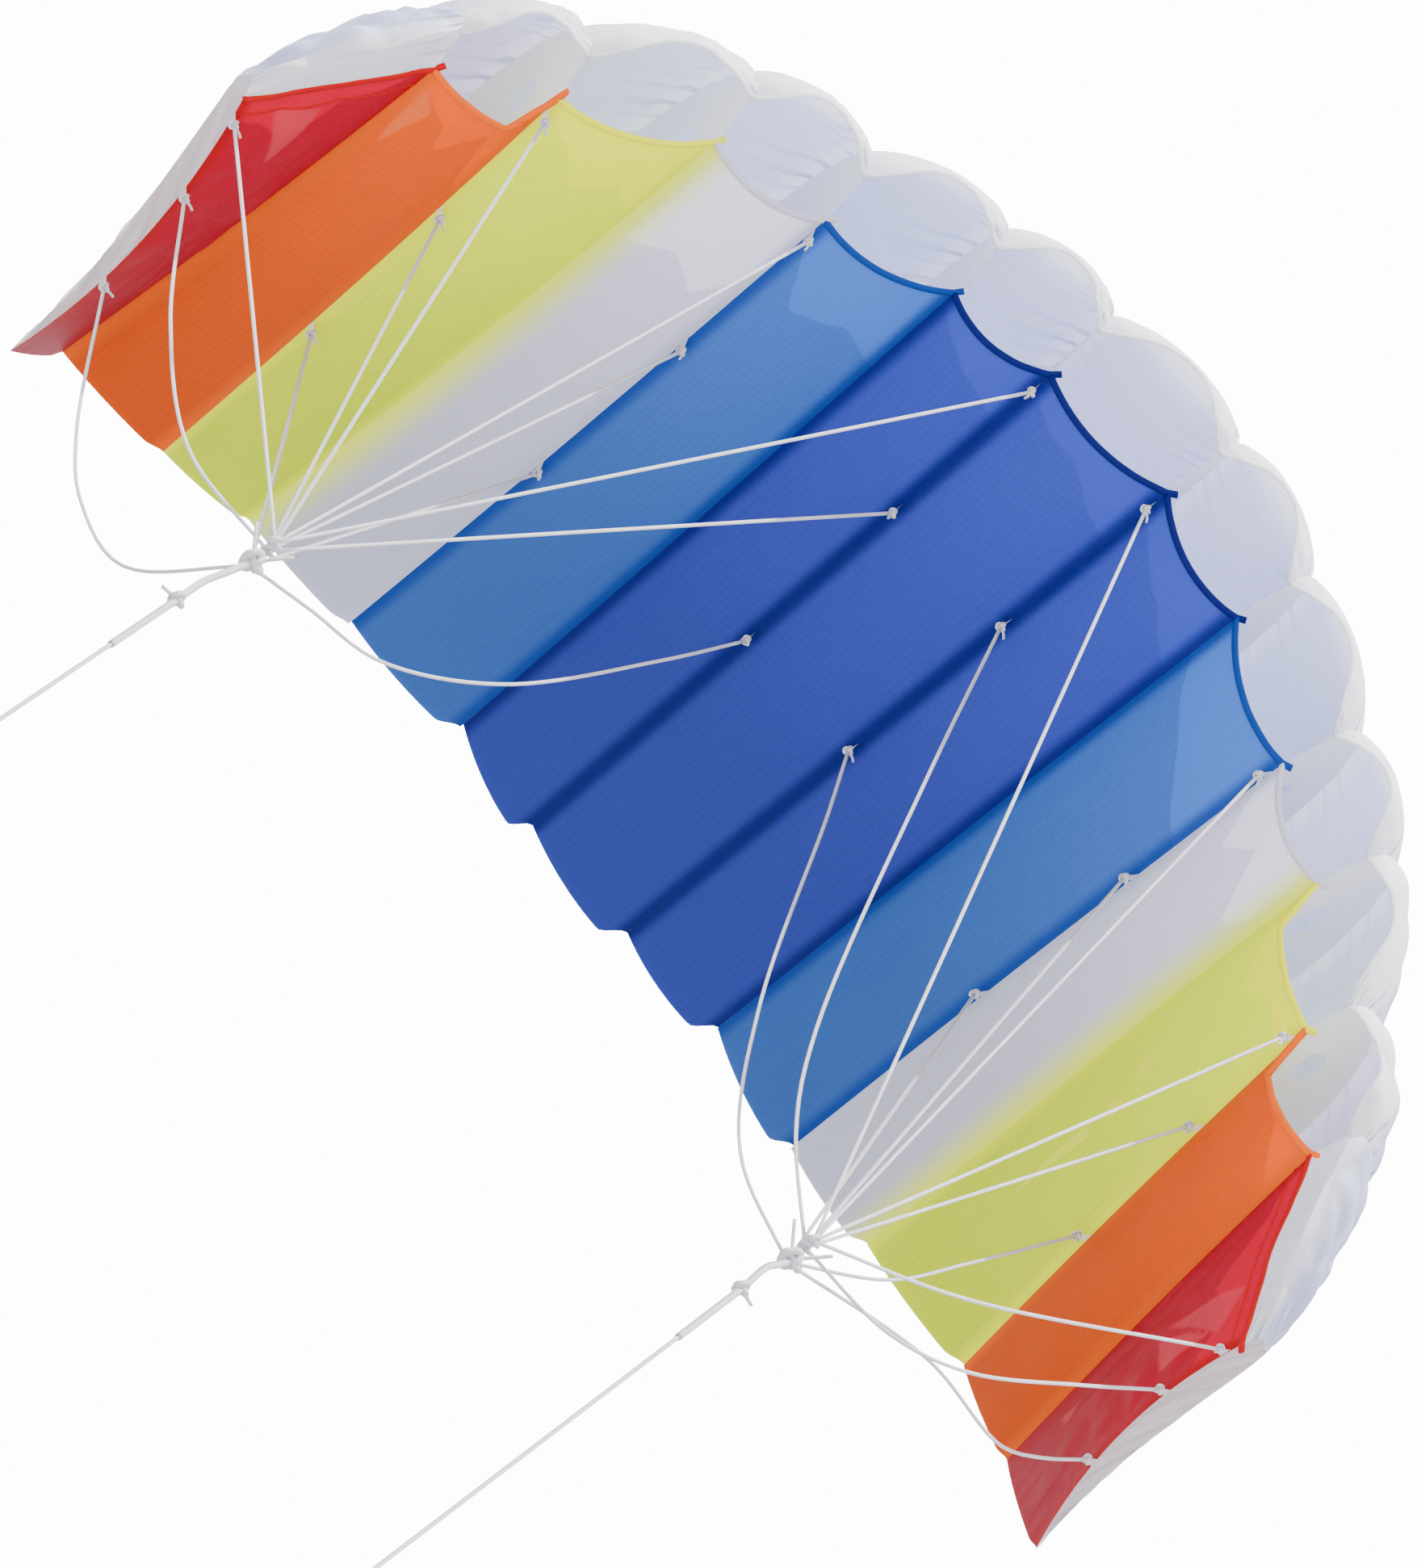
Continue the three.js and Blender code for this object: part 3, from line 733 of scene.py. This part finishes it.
def skin(key, profile, sign, billow, hem=None):
    """The point function of one cell's skin: s runs from the intake to the tail, v from the
    inner rib to the outer one. Cloth is puckered along its seams and crumpled near the tips."""
    side, _, n = key.partition("_")
    ends = [("right", 1), ("left", 1)] if key == "centre" else [(side, int(n)), (side, int(n) + 1)]
    ribs = [rib_frame(*end) for end in ends]
    seed = sum(map(ord, key)) * 0.37
    slack = SLACK[int(n or 1)] * (1 if sign > 0 else 0.4)

    def point(s, v):
        shift = 0
        if sign > 0 and key not in CLOSED:
            s = LIP_CUT * bulge(v) * (1 - s) + s
        if hem:
            shift += hem(v) * max(0, 1 - 3.2 * s)
        toward_left = v if side in ("left", "centre") else 1 - v
        flap = 2 * toward_left - 1 - 2 * smooth((toward_left - 0.84) / 0.16) + 0.6 * bulge(v)
        shift += TAIL_SWAY.get(key, 0.002) * flap * smooth((s - 0.86) / 0.14)
        edge = min(v, 1 - v)
        swell = billow * bulge(v) ** 0.85 * (1 - 0.85 * s ** 3)
        if sign < 0 and key in CLOSED:
            swell *= min(1, 0.2 + 6 * s)
        width = np.linalg.norm(ribs[0]["corner"] - ribs[1]["corner"])
        run = s * ribs[0]["length"]
        leftmost = toward_left > 0.5
        gathers = noise.noise(Vector((run * 82 + edge * 6, seed, 4 * leftmost)))
        gathers += 0.5 * noise.noise(Vector((run * 170, seed + 5, 4 * leftmost)))
        reach, depth = (0.026, 0.0042) if leftmost else (0.015, 0.0022)
        depth *= 1 if sign > 0 else 0.35
        swell += depth * gathers * math.exp(-edge * width / reach) * smooth(edge / 0.05) * (1 - s ** 6)
        folds = noise.voronoi(Vector((run * 17, v * width * 26, seed)))[0]
        swell += slack * (folds[1] - folds[0] - 0.35) * 2 * smooth(edge / 0.12) * (1 - s ** 4)
        places = []
        for rib in ribs:
            a, h = profile(s, rib["nose"])
            a0, h0 = profile(max(0, s - 1e-3), rib["nose"])
            a1, h1 = profile(min(1, s + 1e-3), rib["nose"])
            steep = math.hypot(a1 - a0, h1 - h0)
            na, nh = -(h1 - h0) / steep * sign, (a1 - a0) / steep * sign
            size = rib["length"]
            places.append(place(rib, a + (shift + na * swell) / size, h + nh * swell / size))
        return places[0] + (places[1] - places[0]) * v

    return point, ribs


def closed(key, top):
    """A tip cell's skin point function: from the lip it runs on down to the bottom skin's hem."""
    bottom, ribs = skin(key, lower_edge, -1, BOTTOM_BILLOW, hem_line(key))
    ahead = -ribs[0]["chord"] / np.linalg.norm(ribs[0]["chord"])

    def point(s, v):
        if s >= CLOSURE:
            return top((s - CLOSURE) / (1 - CLOSURE), v)
        up = s / CLOSURE
        swell = 0.006 * bulge(v) * bulge(up)
        return bottom(0, v) * (1 - up) + top(0, v) * up + ahead * swell

    return point


def make_skin(name, key, material, slot, layer, rows, columns, flip, hem=None, bleed=None):
    upper = layer == "top"
    profile = upper_edge if upper else lower_edge
    point, ribs = skin(key, profile, 1 if upper else -1, TOP_BILLOW if upper else BOTTOM_BILLOW, hem)
    if upper and key in CLOSED:
        point = closed(key, point)
    width = np.linalg.norm(ribs[0]["corner"] - ribs[1]["corner"])
    long = TOP_ROUND if upper else 1.0
    chord = (ribs[0]["length"] + ribs[1]["length"]) / 2
    build = Build()
    crowd = 1.4 if upper else 1.0  # rows stand closer together at the nose, where the puckers are
    build.grid(rows, columns, lambda t, v: point(t ** crowd, v),
               lambda t, v: (v * width * 1.05, t ** crowd * chord * long), flip)
    made = build.object(name, material, slot)
    marks = {"edge": lambda s, v: min(v, 1 - v) * width}
    if upper:
        # the strip round the nose, which keeps its white against the painted shade of the rest
        marks["bleed"] = lambda s, v: 1 - smooth((s - 0.12) / 0.12)
        left_gap = (lambda v: 1 - v) if not flip else (lambda v: v)
        marks["pucker"] = lambda s, v: (math.exp(-left_gap(v) * width / 0.017)
                                        + 0.4 * math.exp(-(1 - left_gap(v)) * width / 0.014))
    if bleed:
        marks["bleed"] = bleed(width)
    if not upper:
        marks["folded"] = lambda s, v: fold_depth(key, s, v)
        marks["sunlit"] = lambda s, v: np.interp(v, *SUNLIT[key]) - s * chord
    for mark, value in marks.items():
        attribute = made.data.attributes.new(mark, "FLOAT", "POINT")
        values = [value((i / rows) ** crowd, j / columns)
                  for i in range(rows + 1) for j in range(columns + 1)]
        attribute.data.foreach_set("value", values)
    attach(made, "canopy")
    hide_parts(name.removesuffix("_cloth"))
    return point


KEYS = ["centre", *(f"{side}_{n}" for side in SIDES for n in range(1, TIP_RIB))]
for key in KEYS:
    flip = key.startswith("right")
    point = make_skin(f"top_panel_{key}_cloth", key, shade_tinted_white, "white", "top", 150, 30, flip)
    lip = Build()
    lip.tube([point(0.004, v) for v in np.linspace(0, 1, 25)], LIP_RADIUS, 8, 0.5, (0, 1, 0.2))
    lip = lip.object(f"lip_{key}", white_cloth, "white")
    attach(lip, "canopy")

# ---------------------------------------------------------------- bottom skins
# One coloured ripstop panel to a cell, blues in the middle and reds at the tips. Each has a
# rolled hem along the intake, whose end sticks out past the rib as a short tail.
COLOURS = {
    "royal_blue": ((0.036, 0.058, 0.36, 1), (0.001, 0.004, 0.12, 1)),
    "light_blue": ((0.044, 0.135, 0.45, 1), (0.003, 0.04, 0.26, 1)),
    # the white panels: their cloth is white, given a lilac grey here as painted shade of their underside
    "pale_grey": ((0.68, 0.665, 0.78, 1), (0.58, 0.57, 0.68, 1)),
    "yellow": ((0.82, 0.98, 0.0, 1), (0.92, 1.0, 0.0, 1)),
    "orange": ((0.80, 0.088, 0.0, 1), (0.86, 0.12, 0.0, 1)),
    "red": ((0.47, 0.0, 0.020, 1), (0.48, 0.0, 0.003, 1)),
}
PANELS = {"centre": "royal_blue", 1: "royal_blue", 2: "light_blue", 3: "pale_grey",
          4: "yellow", 5: "orange", 6: "red"}
HEM_RADIUS, HEM_TAIL = 0.0026, 0.006
CLOSED_HEM_RADIUS = 0.0009  # a tip cell's hem is sewn down with a second, thin line behind it
BLEED_REACH = 0.026  # how far into a white panel in painted shade the yellow of the next one glows, as painted light
# How deep daylight reaches in through each intake, across the cell from v = 0 to v = 1
SUNLIT = {
    "centre": ((0, 0.5, 1), (0.018, 0.026, 0.062)),
    "right_1": ((0, 0.4, 1), (0.060, 0.034, 0.012)),
    "left_1": ((0, 0.6, 1), (0.020, 0.040, 0.075)),
    "left_2": ((0, 0.5, 1), (0.045, 0.070, 0.115)),
    "right_2": ((0, 0.35, 0.7, 1), (0.085, 0.060, 0.075, 0.020)),
    "right_3": ((0, 0.3, 0.6, 1), (0.060, 0.105, 0.080, 0.115)),
    "left_3": ((0, 0.3, 0.5, 0.8, 1), (0.020, 0.060, 0.030, 0.085, 0.050)),
    "right_4": ((0, 0.25, 0.5, 0.75, 1), (0.090, 0.052, 0.066, 0.030, 0.012)),
    "left_4": ((0, 0.4, 0.6, 1), (0.010, 0.050, 0.020, 0.040)),
    "right_5": ((0, 0.12, 0.22, 0.5, 0.6, 1), (0.100, 0.085, 0.015, 0.055, 0.030, 0.012)),
    "left_5": ((0, 0.6, 1), (0.0, 0.010, 0.060)),
    "right_6": ((0, 0.4, 0.6, 1), (0.0, 0.020, 0.045, 0.020)),
    "left_6": ((0, 0.3, 0.5, 0.7, 1), (0.012, 0.030, 0.060, 0.035, 0.070)),
}
# How much brighter each colour is in those places
SUN_GAIN = {"royal_blue": 1.2, "light_blue": 1.3, "pale_grey": 1.35,
            "yellow": 1.5, "orange": 1.25, "red": 1.4}
# Folds where the slack cloth catches the light: the corners of each, as shares v across and s aft
FOLDS = {
    "left_4": [((0.28, 0.36), (0.42, 0.33), (0.40, 0.41)), ((0.36, 0.46), (0.46, 0.42), (0.52, 0.47)),
               ((0.40, 0.50), (0.49, 0.52), (0.42, 0.74))],
    "left_6": [((0.48, 0.37), (0.62, 0.05), (0.84, 0.12)), ((0.52, 0.39), (0.80, 0.15), (0.80, 0.36)),
               ((0.25, 0.72), (0.36, 0.78), (0.20, 0.80))],
    "right_6": [((0.80, 0.04), (0.50, 0.06), (0.55, 0.25))],
    "right_5": [((0.97, 0.02), (0.86, 0.20), (0.74, 0.07))],
}


def fold_depth(key, s, v):
    """How far inside a lit fold a point of the panel lies, negative outside them all."""
    best = -1
    for corners in FOLDS.get(key, ()):
        gaps = []
        for (v0, s0), (v1, s1) in zip(corners, corners[1:] + corners[:1]):
            across, aft = v1 - v0, s1 - s0
            gaps.append((across * (s - s0) - aft * (v - v0)) / math.hypot(across, aft))
        best = max(best, min(gaps), -max(gaps))
    return best


def bleed_in(width):
    """How strongly the outer neighbour's colour glows over at a point of a panel."""
    return lambda s, v: 1 - smooth((1 - v) * width / BLEED_REACH)


cloths = {}
for slot, (colour, deep) in COLOURS.items():
    bleed = COLOURS["yellow"][1] if slot == "pale_grey" else None
    cloths[slot] = ripstop(f"{slot}_ripstop", colour, deep, 0.36, bleed, SUN_GAIN[slot])
    hem_tone = tinted(deep, 1.15)
    cloths[slot + "_hem"] = ripstop(f"{slot}_hem", hem_tone, hem_tone, 0.1)

for key in KEYS:
    n = key if key == "centre" else int(key[-1])
    slot = PANELS[n]
    flip = not key.startswith("right")
    bleed = bleed_in if slot == "pale_grey" else None
    point = make_skin(f"bottom_panel_{key}_cloth", key, cloths[slot], slot, "bottom", 64, 28, flip,
                      hem_line(key), bleed)
    hem = Build()
    path = [point(0.003, v) for v in np.linspace(0, 1, 33)]
    past = path[-1] - path[-2] if flip else path[0] - path[1]
    past = past / np.linalg.norm(past) * HEM_TAIL + vec(0, 0.003, -0.001)
    path = [*path, path[-1] + past] if flip else [path[0] + past, *path]
    hem.tube(path, HEM_RADIUS, 10, 0.65, (0, 1, 0.15))
    if key in CLOSED:
        second = [point(0.05, v) for v in np.linspace(0, 1, 33)]
        hem.tube(second, CLOSED_HEM_RADIUS, 8, 0.6, (0, 1, 0.15))
    hem = hem.object(f"hem_{key}", cloths[slot + "_hem"], slot)
    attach(hem, "canopy")

# ---------------------------------------------------------------- floor and light
# A pale floor far below the flying kite, a bright overcast sky and one soft sun ahead of it.
FLOOR_SIZE, FLOOR_LEVEL = 14, -8
floor = Build()
floor.grid(4, 4, lambda s, v: vec(FLOOR_SIZE * (v - 0.5), FLOOR_SIZE * (s - 0.5), FLOOR_LEVEL),
           lambda s, v: (v, s))
mesh = bpy.data.meshes.new("floor")
mesh.from_pydata([tuple(p) for p in floor.points], [], floor.faces)
ground = Shader("floor")
ground.bsdf.inputs["Base Color"].default_value = (0.5, 0.5, 0.5, 1)
ground.bsdf.inputs["Roughness"].default_value = 0.9
mesh.materials.append(ground.material)
floor = bpy.data.objects.new("floor", mesh)
scene_objects.link(floor)

world = bpy.data.worlds.new("sky")
bpy.context.scene.world = world
world.use_nodes = True
sky = world.node_tree.nodes["Background"]
sky.inputs["Color"].default_value = (0.97, 0.98, 1.0, 1)
seen = world.node_tree.nodes.new("ShaderNodeLightPath").outputs["Is Camera Ray"]
toward = world.node_tree.nodes.new("ShaderNodeTexCoord").outputs["Generated"]
height = world.node_tree.nodes.new("ShaderNodeSeparateXYZ")
dome = world.node_tree.nodes.new("ShaderNodeMapRange")
dome.interpolation_type = "SMOOTHSTEP"
glare = world.node_tree.nodes.new("ShaderNodeMix")
for socket, value in ((dome.inputs["From Min"], -0.3), (dome.inputs["From Max"], 0.6),
                      (dome.inputs["To Min"], 0.7), (dome.inputs["To Max"], 3.4), (glare.inputs[3], 14)):
    socket.default_value = value
for start, end in ((toward, height.inputs[0]), (height.outputs["Z"], dome.inputs["Value"]),
                   (seen, glare.inputs[0]), (dome.outputs["Result"], glare.inputs[2]),
                   (glare.outputs[0], sky.inputs["Strength"])):
    world.node_tree.links.new(start, end)


def add_sun(name, toward, strength, angle, colour=(1, 1, 1)):
    light = bpy.data.lights.new(name, "SUN")
    light.energy, light.angle, light.color = strength, angle, colour
    lamp = bpy.data.objects.new(name, light)
    lamp.rotation_mode = "QUATERNION"
    lamp.rotation_quaternion = Vector(toward).to_track_quat("Z", "Y")
    scene_objects.link(lamp)


add_sun("sun", (0.15, 0.75, 0.62), 8.0, 0.03, (1, 0.98, 0.94))
add_sun("haze", (-0.1, 0.9, -0.3), 1.8, 0.9)
